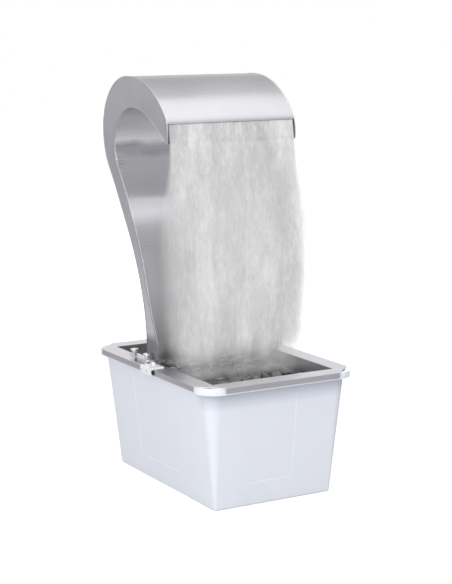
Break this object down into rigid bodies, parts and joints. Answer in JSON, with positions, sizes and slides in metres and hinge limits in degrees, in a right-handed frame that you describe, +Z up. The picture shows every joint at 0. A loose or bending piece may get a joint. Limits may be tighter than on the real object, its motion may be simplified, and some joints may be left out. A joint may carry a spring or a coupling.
{
  "type": "garden fountain",
  "caption": "Garden fountain with a curled hollow steel blade that pours a sheet of water on a tray of pebbles over a pump basin.",
  "frame": {"origin": "middle of the basin's flat underside", "axes": "+Z up, the blade pours towards -Y, +X to the right seen from in front"},
  "size_m": [0.3436, 0.48, 0.802],
  "materials": {
    "basin_plastic": "frosted translucent polypropylene",
    "brushed_steel": "brushed stainless sheet",
    "bright_steel": "bright stainless fasteners",
    "pebble_stone": "wet dark river stone",
    "pipe_plastic": "grey plastic pipe",
    "hose_vinyl": "smooth black vinyl hose",
    "brass_fitting": "turned brass",
    "black_rubber": "matt black rubber",
    "pump_plastic": "moulded black plastic",
    "knob_plastic": "moulded blue plastic",
    "rotor_plastic": "moulded magnet and impeller",
    "core_steel": "varnished steel laminations",
    "coil_copper": "enamelled copper winding",
    "shaft_ceramic": "ground white ceramic",
    "filter_foam": "open-cell black foam",
    "clip_plastic": "white moulded plastic"
  },
  "bodies": {
    "basin": {"basin": "basin_plastic"},
    "fountain": {"stone_tray": "brushed_steel", "drain_grid": "brushed_steel", "lower_pebbles": "pebble_stone", "upper_pebbles": "pebble_stone", "left_side_panel": "brushed_steel", "right_side_panel": "brushed_steel", "blade_front_sheet": "brushed_steel", "blade_back_sheet": "brushed_steel", "foot_plate": "brushed_steel", "left_ear": "brushed_steel", "right_ear": "brushed_steel", "levelling_screws": "bright_steel", "ear_nuts": "bright_steel", "flange_nuts": "bright_steel", "riser_pipe": "pipe_plastic", "riser_clip": "pump_plastic", "spreader_pipe": "brushed_steel", "spreader_brackets": "brushed_steel", "inlet_barb": "brass_fitting", "inlet_washer": "black_rubber", "inlet_locknut": "brass_fitting", "delivery_hose": "hose_vinyl", "hose_clamps": "bright_steel", "pump_body": "pump_plastic", "pump_outlet": "pump_plastic", "stator_core": "core_steel", "stator_coil": "coil_copper", "pump_back_cover": "pump_plastic", "lead_gland": "black_rubber", "rotor_shaft": "shaft_ceramic", "shaft_bushes": "black_rubber", "chamber_cover": "pump_plastic", "suction_feet": "black_rubber", "lead_clip": "clip_plastic", "clip_screws": "bright_steel", "lead_grommet": "black_rubber"},
    "rotor": {"impeller_rotor": "rotor_plastic"},
    "strainer": {"pump_strainer": "pump_plastic", "filter_sponge": "filter_foam"},
    "knob": {"flow_knob": "knob_plastic"}
  },
  "joints": [
    {"name": "tray_lift", "type": "slide", "parent": "basin", "child": "fountain", "axis": [0, 0, 1], "range_m": [0, 0.28]},
    {"name": "rotor_spin", "type": "hinge", "parent": "fountain", "child": "rotor", "pos_m": [0.012, 0.032, 0.043], "axis": [0, 1, 0], "continuous": true},
    {"name": "strainer_pull", "type": "slide", "parent": "fountain", "child": "strainer", "axis": [0, -1, 0], "range_m": [0, 0.06]},
    {"name": "flow_dial", "type": "hinge", "parent": "strainer", "child": "knob", "pos_m": [0.012, 0.032, 0.043], "axis": [0, -1, 0], "range_deg": [0, 90]}
  ]
}
